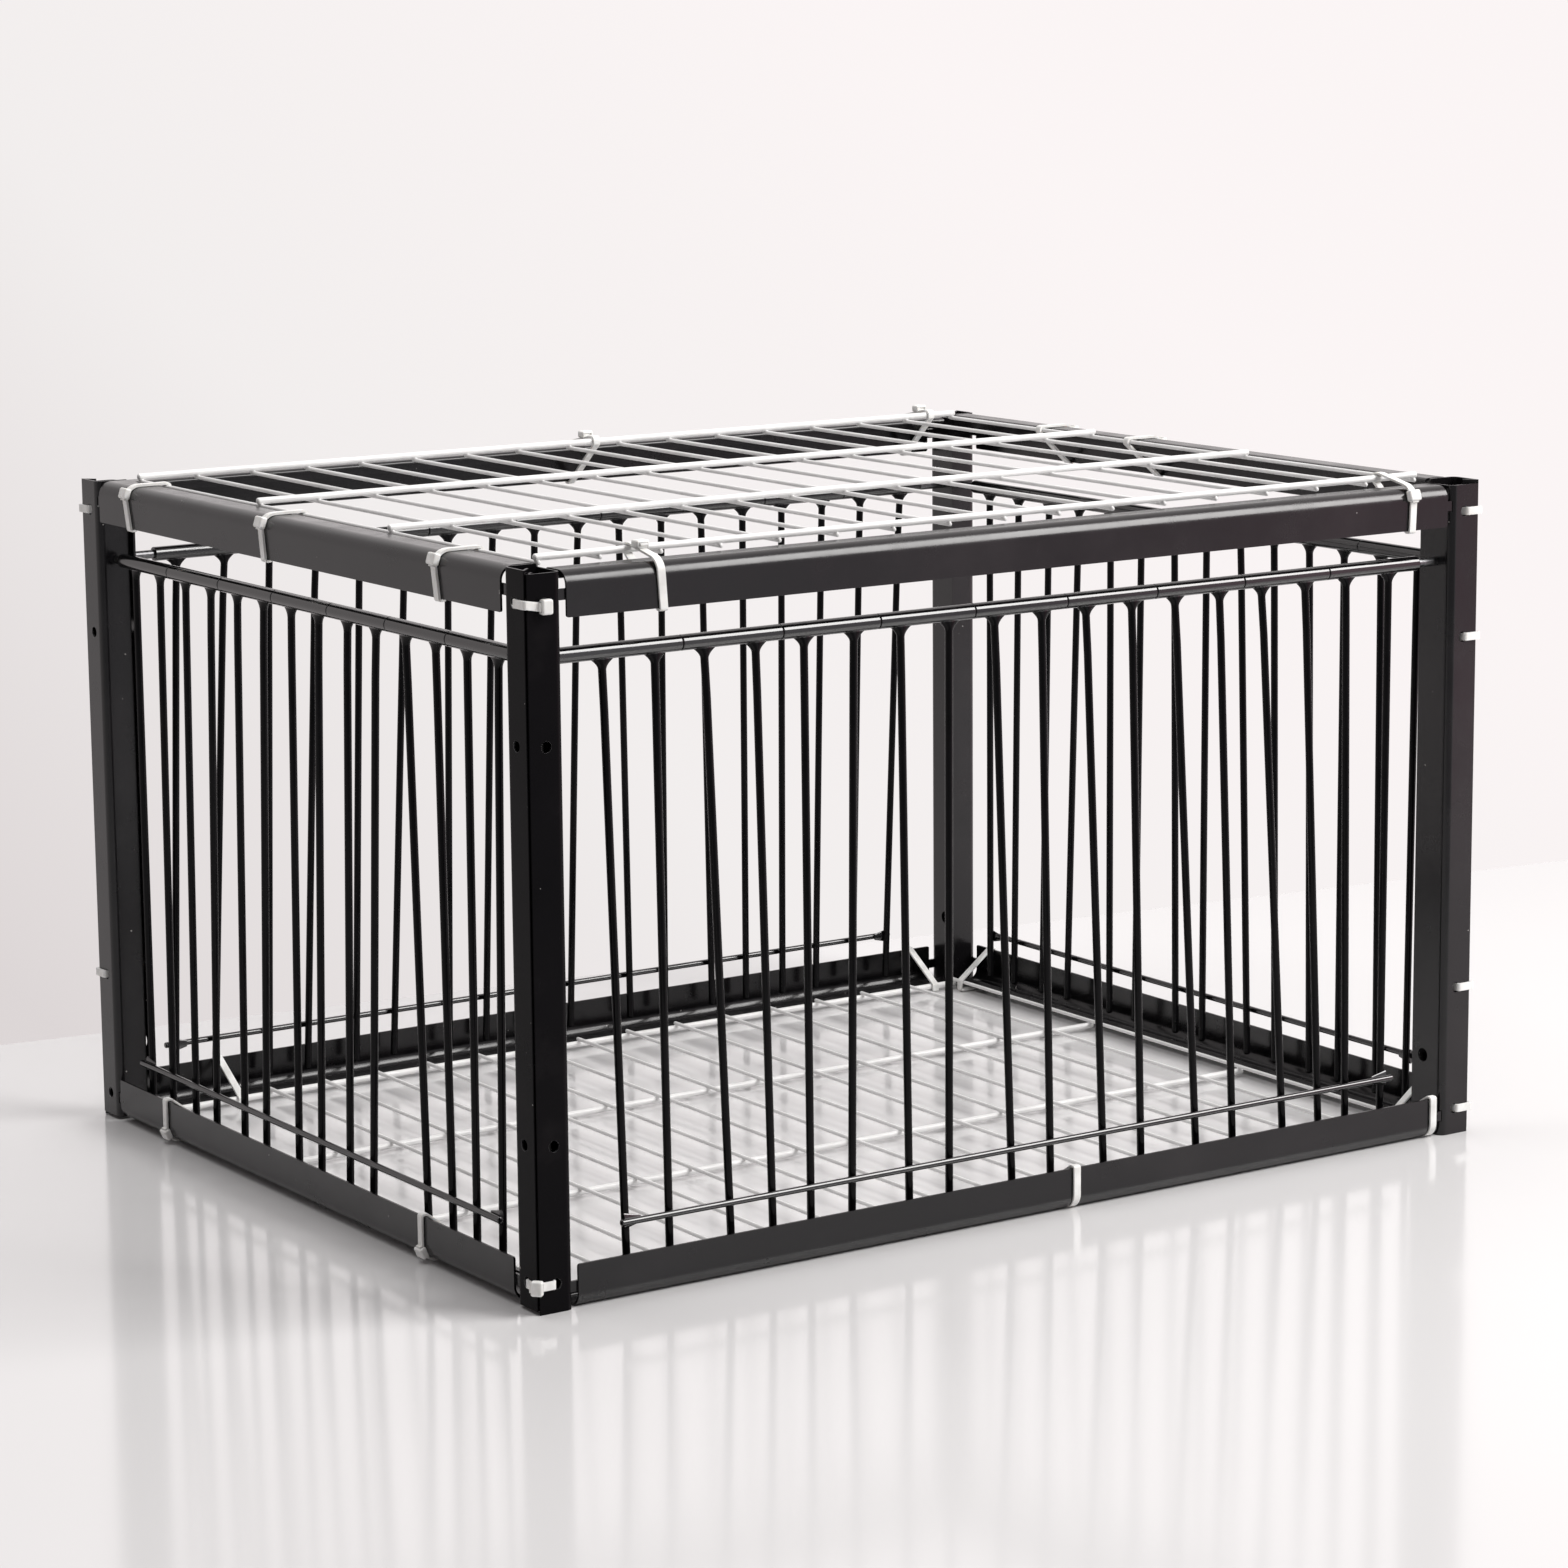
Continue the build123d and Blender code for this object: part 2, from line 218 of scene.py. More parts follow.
def finishPiece(obj, name, node, finish, smooth=40):
    onlyThis(obj)
    obj.name = name
    bpy.ops.object.shade_smooth_by_angle(angle=math.radians(smooth))
    applyModifier(obj, "WEIGHTED_NORMAL", keep_sharp=True, weight=80)
    if not obj.data.materials:
        obj.data.materials.append(finish)
    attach(obj, frame["nodes"][node]["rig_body"])
    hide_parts(node)
    return obj


# Where the panels stand, read from the frame

cornerLow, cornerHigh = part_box("front_stile_a")
cageHeight = cornerHigh.z - cornerLow.z
halfLength, halfDepth = -cornerLow.x, -cornerLow.y
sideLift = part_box("left_stile_a")[0].z

panels = {
    "front": dict(half=halfLength, reach=halfDepth, turn=0, lift=0, bobs=9),
    "back": dict(half=halfLength, reach=halfDepth, turn=180, lift=0, bobs=9),
    "left": dict(half=halfDepth, reach=halfLength, turn=-90, lift=sideLift, bobs=7),
    "right": dict(half=halfDepth, reach=halfLength, turn=90, lift=sideLift, bobs=7),
}
for name, panel in panels.items():
    turned = Matrix.Rotation(math.radians(panel["turn"]), 4, "Z")
    panel["place"] = turned @ Matrix.Translation((0, -panel["reach"], 0))
    rodLow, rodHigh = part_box(name + "_pivot_rod")
    rodMiddle = panel["place"].inverted() @ ((rodLow + rodHigh) / 2)
    panel["rowInset"], panel["pivot"] = rodMiddle.y, rodMiddle.z
    swings = {joint["child"]: Vector(joint["pos_m"]) for joint in frame["joints"]}
    second, third = [(panel["place"].inverted() @ swings[name + "_bob_" + number]).x for number in "23"]
    panel["pitch"] = third - second
    panel["firstBob"] = second - panel["pitch"]
print("panels placed from the frame")


# Finishes

def newFinish(name):
    finish = bpy.data.materials.new(name)
    finish.use_nodes = True
    nodes, links = finish.node_tree.nodes, finish.node_tree.links
    shader = nodes["Principled BSDF"]
    place = nodes.new("ShaderNodeTexCoord")
    return finish, nodes, links, shader, place.outputs["Object"]


def noise(nodes, links, place, scale, detail=4, rough=0.5):
    texture = nodes.new("ShaderNodeTexNoise")
    texture.inputs["Scale"].default_value = scale
    texture.inputs["Detail"].default_value = detail
    texture.inputs["Roughness"].default_value = rough
    links.new(place, texture.inputs["Vector"])
    return texture.outputs["Fac"]


def spread(nodes, links, value, low, high, fromLow=0.3, fromHigh=0.7):
    ranged = nodes.new("ShaderNodeMapRange")
    for socket, number in (("From Min", fromLow), ("From Max", fromHigh), ("To Min", low), ("To Max", high)):
        ranged.inputs[socket].default_value = number
    links.new(value, ranged.inputs["Value"])
    return ranged.outputs["Result"]


def tones(nodes, links, value, stops):
    ramp = nodes.new("ShaderNodeValToRGB")
    while len(ramp.color_ramp.elements) < len(stops):
        ramp.color_ramp.elements.new(0.5)
    for element, (at, colour) in zip(ramp.color_ramp.elements, stops):
        element.position = at
        element.color = (*colour, 1)
    links.new(value, ramp.inputs["Fac"])
    return ramp.outputs["Color"]


def bumped(nodes, links, shader, height, strength, distance):
    bump = nodes.new("ShaderNodeBump")
    bump.inputs["Strength"].default_value = strength
    bump.inputs["Distance"].default_value = distance
    links.new(height, bump.inputs["Height"])
    links.new(bump.outputs["Normal"], shader.inputs["Normal"])


# the corner shine is the coat's reflection cut down on the near-corner stiles: painted shade
blackCoat = dict(dark=(0.0030, 0.0028, 0.0034), mid=(0.0042, 0.0038, 0.0045), pale=(0.0125, 0.0110, 0.0120),
                 chip=(0.30, 0.29, 0.28), gloss=(0.16, 0.30), shine=0.47, shadedCornerShine=0.05)


def makeBlackCoat(name, shine):
    # baked black coat on the folded sheet: cloudy sheen, faint orange peel
    finish, nodes, links, shader, place = newFinish(name)
    cloud = noise(nodes, links, place, 14, 5, 0.6)
    peel = noise(nodes, links, place, 900, 2)
    smudge = noise(nodes, links, place, 48, 6, 0.65)
    shades = [(0.3, blackCoat["dark"]), (0.52, blackCoat["mid"]), (0.74, blackCoat["pale"])]
    colour = tones(nodes, links, cloud, shades)
    chips = spread(nodes, links, noise(nodes, links, place, 330, 1), 0, 1, 0.80, 0.82)       # rare pinhole chips
    worn = nodes.new("ShaderNodeMix")
    worn.data_type = "RGBA"
    links.new(chips, worn.inputs["Factor"])
    links.new(colour, worn.inputs["A"])
    worn.inputs["B"].default_value = (*blackCoat["chip"], 1)
    links.new(worn.outputs["Result"], shader.inputs["Base Color"])
    links.new(spread(nodes, links, smudge, *blackCoat["gloss"]), shader.inputs["Roughness"])
    shader.inputs["Specular IOR Level"].default_value = shine
    bumped(nodes, links, shader, peel, 0.12, 0.05 * mm)
    return finish


# the bar shine is the moulding's reflection cut down on the bars only: painted shade
mouldedBlack = dict(dark=(0.0026, 0.0026, 0.0030), pale=(0.0050, 0.0047, 0.0053), gloss=(0.08, 0.13),
                    shine=0.85, shadedBarShine=0.12)


def makeMouldedBlack(name, shine):
    # black moulding of the bobs and stop bars, glossier than the coat
    finish, nodes, links, shader, place = newFinish(name)
    cloud = noise(nodes, links, place, 60, 3)
    grain = noise(nodes, links, place, 1400, 2)
    colour = tones(nodes, links, cloud, [(0.35, mouldedBlack["dark"]), (0.7, mouldedBlack["pale"])])
    links.new(colour, shader.inputs["Base Color"])
    links.new(spread(nodes, links, cloud, *mouldedBlack["gloss"]), shader.inputs["Roughness"])
    shader.inputs["Specular IOR Level"].default_value = shine
    bumped(nodes, links, shader, grain, 0.08, 0.04 * mm)
    return finish


bareSteel = dict(dark=(0.12, 0.12, 0.125), pale=(0.30, 0.30, 0.305), gloss=(0.30, 0.45))


def makeBareSteel():
    # bright walls of the holes punched through the coat
    finish, nodes, links, shader, place = newFinish("bareSteel")
    streak = noise(nodes, links, place, 1500, 3)
    links.new(tones(nodes, links, streak, [(0.3, bareSteel["dark"]), (0.7, bareSteel["pale"])]),
              shader.inputs["Base Color"])
    links.new(spread(nodes, links, streak, *bareSteel["gloss"]), shader.inputs["Roughness"])
    shader.inputs["Metallic"].default_value = 1
    return finish


rodMetal = dict(dark=(0.10, 0.10, 0.105), pale=(0.22, 0.22, 0.225), gloss=(0.28, 0.42))


def makeRodMetal():
    # drawn steel, streaked along the wire
    finish, nodes, links, shader, place = newFinish("rodMetal")
    streak = noise(nodes, links, place, 700, 3)
    colour = tones(nodes, links, streak, [(0.3, rodMetal["dark"]), (0.7, rodMetal["pale"])])
    links.new(colour, shader.inputs["Base Color"])
    links.new(spread(nodes, links, streak, *rodMetal["gloss"]), shader.inputs["Roughness"])
    shader.inputs["Metallic"].default_value = 1
    return finish


whiteCoat = dict(shade=(0.74, 0.74, 0.735), clean=(0.86, 0.86, 0.855), gloss=(0.28, 0.42))


def makeWhiteCoat():
    # dipped white coat of the wire mesh, a little uneven
    finish, nodes, links, shader, place = newFinish("whiteCoat")
    cloud = noise(nodes, links, place, 45, 4)
    runs = noise(nodes, links, place, 420, 3)
    colour = tones(nodes, links, cloud, [(0.32, whiteCoat["shade"]), (0.62, whiteCoat["clean"])])
    links.new(colour, shader.inputs["Base Color"])
    links.new(spread(nodes, links, runs, *whiteCoat["gloss"]), shader.inputs["Roughness"])
    bumped(nodes, links, shader, runs, 0.25, 0.12 * mm)
    return finish


nylon = dict(shade=(0.72, 0.72, 0.70), clean=(0.88, 0.88, 0.865), gloss=(0.34, 0.48))


def makeNylon():
    # natural nylon of the cable ties, slightly translucent
    finish, nodes, links, shader, place = newFinish("naturalNylon")
    cloud = noise(nodes, links, place, 160, 3)
    scuff = noise(nodes, links, place, 1100, 3)
    colour = tones(nodes, links, cloud, [(0.3, nylon["shade"]), (0.65, nylon["clean"])])
    links.new(colour, shader.inputs["Base Color"])
    links.new(spread(nodes, links, scuff, *nylon["gloss"]), shader.inputs["Roughness"])
    shader.inputs["Subsurface Weight"].default_value = 0.15
    shader.inputs["Subsurface Radius"].default_value = (1.0, 0.9, 0.8)
    shader.inputs["Subsurface Scale"].default_value = 1.2 * mm
    bumped(nodes, links, shader, scuff, 0.15, 0.05 * mm)
    return finish


coatFinish = makeBlackCoat("blackCoat", blackCoat["shine"])
# a copy of the coat with its reflection cut down, for the near-corner stiles: painted shade that renders them darker,
# as if they stood in shade
shadedCornerFinish = makeBlackCoat("shadedCornerBlackCoat", blackCoat["shadedCornerShine"])        # stiles of the near corner
mouldedFinish = makeMouldedBlack("mouldedBlack", mouldedBlack["shine"])
# the bars take a copy of the moulding with its reflection cut down: painted shade that renders them darker than the
# sleeves of the same moulding
shadedBarFinish = makeMouldedBlack("shadedBarBlack", mouldedBlack["shadedBarShine"])
bareFinish = makeBareSteel()
rodFinish = makeRodMetal()
whiteFinish = makeWhiteCoat()
nylonFinish = makeNylon()
print("finishes made")


# Stiles: one folded channel for the long panels, one for the short, copied and mirrored

stile = metres(width=17, longFlange=20, shortFlange=15, sheet=1, shoulder=3.5, mitreReach=5.6,
               slit=0.5, fold=0.75, edge=0.14, tieInset=8.6, tieLeg=7.7, tieHole=4.8, rodHole=4.2,
               tongueTall=5.2, tongueThick=1.9, tongueReach=4.35, slotFront=0.65,
               spareHole=6.2, spareInset=12.8, spareLevel=36)
tieLevels = [12 * mm, 69 * mm, 231 * mm, 288 * mm]
railTall = 18.5 * mm


def inTieHole(point):
    near = min(abs(point.z - level) for level in tieLevels)
    return math.hypot(point.x - stile["tieInset"], near) < stile["tieHole"] / 2 + 0.1 * mm


def makeStile(panel):
    lift, top = panel["lift"], panel["lift"] + cageHeight
    width, sheet = stile["width"], stile["sheet"]
    seam = stile["slit"] / math.sqrt(2)
    obj = addPlane(width - seam, cageHeight, ((width + seam) / 2, 0, (lift + top) / 2), (quarter, 0, 0))
    pick(obj, "EDGE", lambda e: lies(e, x=width))
    extrudeBy((0, stile["shortFlange" if lift else "longFlange"], 0))
    pick(obj, "EDGE", lambda e: lies(e, x=seam))
    run = stile["mitreReach"] - seam
    extrudeBy((run, run, 0))
    pick(obj, "EDGE", lambda e: lies(e, x=width, y=0))
    bevelPicked(stile["shoulder"], 10)
    deselect()
    applyModifier(obj, "SOLIDIFY", thickness=sheet, offset=-1, use_even_offset=True)
    pick(obj, "EDGE", lambda e: lies(e, x=seam, y=0))
    bevelPicked(stile["fold"], 4)
    deselect()
    holes = [addCylinder(stile["tieHole"] / 2, 4 * sheet, (stile["tieInset"], sheet / 2, level), "Y", 32)
             for level in tieLevels]
    holes.append(addCylinder(stile["rodHole"] / 2, 4 * sheet, (width - sheet / 2, panel["rowInset"], panel["pivot"]),
                             "X", 32))
    if not lift:       # the deeper flange has a spare hole near the floor
        spareSpot = (width - sheet / 2, stile["spareInset"], stile["spareLevel"])
        holes.append(addCylinder(stile["spareHole"] / 2, 4 * sheet, spareSpot, "X", 32))
    for middle in (lift + railTall / 2, top - railTall / 2):
        slotLow = (width - stile["tongueReach"], stile["slotFront"], middle - stile["tongueTall"] / 2)
        slotHigh = (width + sheet, stile["slotFront"] + stile["tongueThick"], middle + stile["tongueTall"] / 2)
        holes.append(addBlock(slotLow, slotHigh))
    cut(obj, holes)
    softenEdges(obj, stile["edge"])
    paintFaces(obj, coatFinish, bareFinish, lambda f: inTieHole(f.calc_center_median()))
    return obj


for pair in (("front", "back"), ("left", "right")):
    master = makeStile(panels[pair[0]])
    for name in pair:
        panel = panels[name]
        for letter, hand in (("a", 1), ("b", -1)):
            corner = Matrix.Translation((-hand * panel["half"], 0, 0)) @ Matrix.Diagonal((hand, 1, 1, 1))
            obj = placedCopy(master, name + "Stile", panel["place"] @ corner)
            # the near-corner stiles take the copy of the coat with its reflection cut down: painted shade
            if name + letter in ("fronta", "leftb"):
                obj.data.materials[0] = shadedCornerFinish
            finishPiece(obj, name + "Stile" + letter.upper(), name + "_stile_" + letter, coatFinish)
    drop(master)
print("stiles folded")


# Rails: folded web, flange and lip, hooked into the stiles by tongues

rail = metres(depth=16, sheet=1, lip=5, shoulder=6, lipRound=2, corner=1.0, endGap=2, edge=0.14,
              tongueTall=4.5, tongueThick=1.2, tongueRoot=10, tongueReach=4, notchWide=4.4, notchDeep=1.5)


def makeRail(panel, top, notches):
    inward = -1 if top else 1
    edge = panel["lift"] + (cageHeight if top else 0)
    half = panel["half"] - stile["width"] - rail["endGap"]
    free = edge + inward * railTall
    obj = addPlane(2 * half, railTall, (0, 0, (edge + free) / 2), (quarter, 0, 0))
    pick(obj, "EDGE", lambda e: lies(e, z=edge))
    extrudeBy((0, rail["depth"], 0))
    extrudeBy((0, 0, inward * rail["lip"]))
    pick(obj, "EDGE", lambda e: lies(e, y=0, z=edge))
    bevelPicked(rail["shoulder"], 14)
    pick(obj, "EDGE", lambda e: lies(e, y=rail["depth"], z=edge))
    bevelPicked(rail["lipRound"], 6)
    pick(obj, "VERT", lambda v: lies(v, y=0, z=free))
    bevelPicked(rail["corner"], 6, "VERTICES")
    deselect()
    applyModifier(obj, "SOLIDIFY", thickness=rail["sheet"], offset=-1, use_even_offset=True)
    middle = (edge + free) / 2
    tongues = []
    for hand in (-1, 1):
        ends = sorted((hand * (half - rail["tongueRoot"]), hand * (half + rail["endGap"] + rail["tongueReach"])))
        low = (ends[0], rail["sheet"] - 0.1 * mm, middle - rail["tongueTall"] / 2)
        high = (ends[1], rail["sheet"] + rail["tongueThick"], middle + rail["tongueTall"] / 2)
        tongues.append(addBlock(low, high))
    weld(obj, tongues)
    if notches:
        reach = rail["notchWide"] / 2
        cut(obj, [addBlock((at - reach, -2 * mm, -2 * mm), (at + reach, 18 * mm, rail["notchDeep"]))
                  for at in notches])
    softenEdges(obj, rail["edge"])
    return obj


# Ties of the roof and floor mesh: place along the panel, where the head sits, and on the roof the strap's slant
roofTies = {
    "front": [(-186.55, "top", 1.0), (209.25, "shoulder", -0.6)],
    "back": [(-14.35, "top", 0.8), (-215.25, "top", -0.5)],
    "left": [(-152.2, "shoulder", 3.4), (-20.1, "shoulder", 2.2), (129.8, "shoulder", 2.4)],
    "right": [(100.3, "shoulder", 0.8), (29.5, "shoulder", -1.0)],
}
floorTies = {
    "front": [(22.0, "none"), (227.0, "none")],
    "back": [(189.2, "none"), (-217.0, "none")],
    "left": [(-132.4, "shoulder"), (105.9, "shoulder")],
    "right": [(168.0, "shoulder"), (-172.0, "shoulder")],
}

for name, panel in panels.items():
    for side in ("top", "bottom"):
        notched = side == "bottom" and panel["lift"] == 0
        notches = [at * mm for at, head in floorTies[name]] if notched else []
        master = makeRail(panel, side == "top", notches)
        obj = placedCopy(master, name + "Rail", panel["place"])
        finishPiece(obj, name + side.capitalize() + "Rail", name + "_" + side + "_rail", coatFinish)
        drop(master)
print("rails folded")


# Pivot rods

rod = metres(radius=2, overhang=2, tip=0.5)

for name, panel in panels.items():
    reach = panel["half"] - stile["width"] + stile["sheet"] + rod["overhang"]
    master = addCylinder(rod["radius"], 2 * reach, (0, panel["rowInset"], panel["pivot"]), "X", 32)
    pick(master, "FACE", lambda f: abs(f.normal.x) > 0.9)
    bpy.ops.mesh.region_to_loop()
    bevelPicked(rod["tip"], 3)
    deselect()
    obj = placedCopy(master, name + "Rod", panel["place"])
    finishPiece(obj, name + "PivotRod", name + "_pivot_rod", rodFinish)
    drop(master)
print("rods cut")


# Bobs: a sleeve with two flared bars, modelled once at the pivot, then leaned and set along each row

bob = metres(sleeve=3.3, bore=2.05, gap=0.4, mouth=0.35, bar=1.7, offset=12.4, toe=2.0, tip=8, tipRound=1.2,
             flareTall=5, flareWide=5, flareTop=-2.3)
flareSteps = 6
flareCurve = 1.7       # 1 is a plain slope, 2 is well rounded
barRings = 14
rowLeans = {
    "front": [5.3, 7.9, -0.7, 1.4, 7.3, 8.7, 12.1, 13.5, 1.5],
    "back": [8.4, 4.0, -1.2, -0.5, 7.1, 7.5, 11.1, 10.0, 11.3],
    "left": [-2.4, -8.8, -10.7, -9.1, -12.8, 5.9, -4.1],
    "right": [0.5, -2.2, -6.3, -1.3, 1.5, 7.0, 1.7],
}
rowTails = {"front": (10.0, 4.5)}        # end sleeves that run on past their row
barLength = panels["front"]["pivot"] - bob["tip"]


def makeBar(side):
    head = side * bob["offset"]
    neck = bob["flareTop"] - bob["flareTall"]
    obj = addCylinder(bob["bar"], barLength + neck, (head, 0, (neck - barLength) / 2), "Z", 20)
    pick(obj, "EDGE", lambda e: abs(e.verts[0].co.z - e.verts[1].co.z) > 1 * mm)
    bpy.ops.mesh.subdivide(number_cuts=barRings)
    pick(obj, "FACE", lambda f: f.normal.z < -0.9 and lies(f, z=-barLength))
    bpy.ops.mesh.region_to_loop()
    bevelPicked(bob["tipRound"], 5)
    pick(obj, "FACE", lambda f: f.normal.z > 0.9 and lies(f, z=neck))
    wide = bob["bar"]
    for step in range(1, flareSteps + 1):
        wider = bob["bar"] + bob["flareWide"] * (step / flareSteps) ** flareCurve
        extrudeBy((0, 0, bob["flareTall"] / flareSteps))
        bpy.ops.transform.resize(value=(wider / wide, 1, 1), center_override=(head, 0, 0))
        wide = wider
    deselect()
    return obj


def makeBob(pitch, firstTail=0.0, lastTail=0.0):
    low = (bob["gap"] - pitch) / 2 - firstTail * mm
    high = (pitch - bob["gap"]) / 2 + lastTail * mm
    obj = addCylinder(bob["sleeve"], high - low, ((low + high) / 2, 0, 0), "X", 40, "NOTHING")
    applyModifier(obj, "SOLIDIFY", thickness=bob["sleeve"] - bob["bore"], offset=-1, use_even_offset=True)
    softenEdges(obj, bob["mouth"], 3)
    weld(obj, [makeBar(-1), makeBar(1)])
    # the bars below the sleeve get the copy of the moulding with its reflection cut down: painted shade
    paintFaces(obj, mouldedFinish, shadedBarFinish, lambda f: f.calc_center_median().z < -bob["sleeve"])
    return obj


def leanBars(obj, lean):
    # each bar turns about its own head in the plane of the row
    neck = bob["flareTop"] - bob["flareTall"]
    for side in ((1, -1) if lean > 0 else (-1, 1)):       # the leading bar first, so their feet never mix
        head = side * bob["offset"]
        foot = lean - side * bob["toe"]
        pick(obj, "VERT", lambda v: v.co.z < neck - 0.1 * mm and v.co.x * side > 0)
        bpy.ops.transform.rotate(value=math.atan2(foot, barLength), orient_axis="Y", center_override=(head, 0, 0))
    deselect()


# Stop bars lie across the outside of the rows, their ends seated in cradles on the outermost bars
stop = metres(radius=1.4, height=30, gap=0.4, knob=2.4, end=0.6, cradle=6.5, base=7.0, nose=3.2)


def barAtStop(panel, name, index, side):
    middle = panel["firstBob"] + index * panel["pitch"]
    share = (panel["pivot"] - stop["height"]) / barLength
    return middle + side * bob["offset"] + share * (rowLeans[name][index] * mm - side * bob["toe"])


def addCradle(obj, at, side, panel):
    # tapered cradle on the outermost bar, open to the outside, in the bob's own place
    level = stop["height"] - panel["pivot"]
    stopY = -bob["bar"] - stop["gap"] - stop["radius"]
    length = stop["cradle"] + bob["bar"]
    middle = at + side * bob["bar"] - side * length / 2
    deselect()
    bpy.ops.mesh.primitive_cone_add(vertices=28, radius1=stop["base"] / 2, radius2=stop["nose"] / 2, depth=length,
                                    location=(middle, stopY / 2, level), rotation=(0, -side * quarter, 0))
    cradle = settle(bpy.context.object)
    pick(cradle, "VERT", lambda v: True)
    bpy.ops.transform.resize(value=(1, 0.3, 1), center_override=(middle, stopY / 2 + 0.2 * mm, level))
    deselect()
    softenEdges(cradle, 0.4 * mm, 2)
    weld(obj, [cradle])
    cut(obj, [addCylinder(stop["radius"] + 0.05 * mm, 3 * length, (middle, stopY, level), "X", 32)])


for name, panel in panels.items():
    last = panel["bobs"] - 1
    tails = rowTails.get(name, (0.0, 0.0))
    masters = {0: makeBob(panel["pitch"], tails[0]), last: makeBob(panel["pitch"], 0.0, tails[1]),
               "row": makeBob(panel["pitch"])}
    for index in range(panel["bobs"]):
        middle = panel["firstBob"] + index * panel["pitch"]
        stand = Matrix.Translation((middle, panel["rowInset"], panel["pivot"]))
        swung = placedCopy(masters.get(index, masters["row"]), "bobDraft", Matrix.Identity(4))
        leanBars(swung, rowLeans[name][index] * mm)
        if index in (0, last):
            side = 1 if index else -1
            addCradle(swung, barAtStop(panel, name, index, side) - middle, side, panel)
            node, title = name + "_end_bobs", name + "EndBob" + ("B" if index else "A")
        else:
            node, title = name + "_bob_" + str(index + 1), name + "Bob" + str(index + 1)
        obj = placedCopy(swung, title, panel["place"] @ stand)
        finishPiece(obj, title, node, mouldedFinish)
        drop(swung)
    low = barAtStop(panel, name, 0, -1) - bob["bar"] - stop["knob"]
    high = barAtStop(panel, name, last, 1) + bob["bar"] + stop["knob"]
    stopY = panel["rowInset"] - bob["bar"] - stop["gap"] - stop["radius"]
    master = addCylinder(stop["radius"], high - low, ((low + high) / 2, stopY, stop["height"]), "X", 28)
    pick(master, "FACE", lambda f: abs(f.normal.x) > 0.9)
    bpy.ops.mesh.region_to_loop()
    bevelPicked(stop["end"], 4)
    deselect()
    obj = placedCopy(master, name + "Stop", panel["place"])
    finishPiece(obj, name + "StopBar", name + "_stop_bar", mouldedFinish)
    for spare in [master, *masters.values()]:
        drop(spare)
print("bobs hung and stop bars seated")


# White wire mesh of the roof and the floor

wire = metres(long=1.5, cross=0.95, side=177, half=229.6, over=1.8, bite=0.2, wave=0.7, bead=1.25)
longCount, crossCount = 4, 17


def addWire(radius, length, centre, axis, sides, cuts):
    obj = addCylinder(radius, length, centre, axis, sides)
    pick(obj, "FACE", lambda f: abs(getattr(f.normal, axis.lower())) > 0.9)
    bpy.ops.mesh.region_to_loop()
    bevelPicked(radius * 0.6, 3)
    pick(obj, "EDGE", lambda e: (e.verts[0].co - e.verts[1].co).length > length / 2)
    bpy.ops.mesh.subdivide(number_cuts=cuts)
    deselect()
    return obj


def makeMesh(level, crossLevel):
    waver = bpy.data.textures.new("waver", "CLOUDS")
    waver.noise_scale = 0.07
    longs = [addWire(wire["long"], 2 * (wire["half"] + wire["over"]),
                     (0, wire["side"] * (2 * n / (longCount - 1) - 1), level), "X", 14, 40) for n in range(longCount)]
    crosses = [addWire(wire["cross"], 2 * (wire["side"] + wire["over"]),
                       (wire["half"] * (2 * n / (crossCount - 1) - 1), 0, crossLevel), "Y", 10, 36)
               for n in range(crossCount)]
    beads = []
    for along in range(crossCount):
        for across in range(longCount):
            place = (wire["half"] * (2 * along / (crossCount - 1) - 1),
                     wire["side"] * (2 * across / (longCount - 1) - 1), (level * 0.8 + crossLevel * 1.2) / 2)
            deselect()
            bpy.ops.mesh.primitive_uv_sphere_add(segments=10, ring_count=6, radius=wire["bead"], location=place)
            beads.append(settle(bpy.context.object))
    crossed = joinAll(crosses)
    applyModifier(crossed, "DISPLACE", texture=waver, texture_coords="GLOBAL", direction="X", strength=wire["wave"],
                  mid_level=0.5)
    obj = joinAll(longs)
    weld(obj, [crossed])
    return weld(obj, beads)


for name in ("roof", "floor"):
    low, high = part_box(name + "_mesh")
    longUp = name == "roof"
    level = high.z - wire["long"] if longUp else low.z + wire["long"]
    step = wire["long"] + wire["cross"] - wire["bite"]
    obj = makeMesh(level, level - step if longUp else level + step)
    finishPiece(obj, name + "Mesh", name + "_mesh", whiteFinish, 50)
print("wire mesh welded")


# Cable ties: a strap extruded round its path, and a head with its cut tail

tie = metres(width=3.6, thick=1.1, gap=0.15, edge=0.22, headLong=5, headWide=6.2, headTall=3.4, headRound=0.9,
             mouthWide=4.2, mouthTall=1.5, mouthDeep=0.8, tail=0.7, bend=0.8, slantDrop=9, sag=1.1,
             roofHeadOut=0.9, roofHeadDrop=2.6, floorHeadOut=0.5, floorHeadRise=3.0)
roofHeadTurn, floorHeadTurn = math.radians(72), math.radians(-66)
tieOffset = tie["gap"] + tie["thick"] / 2


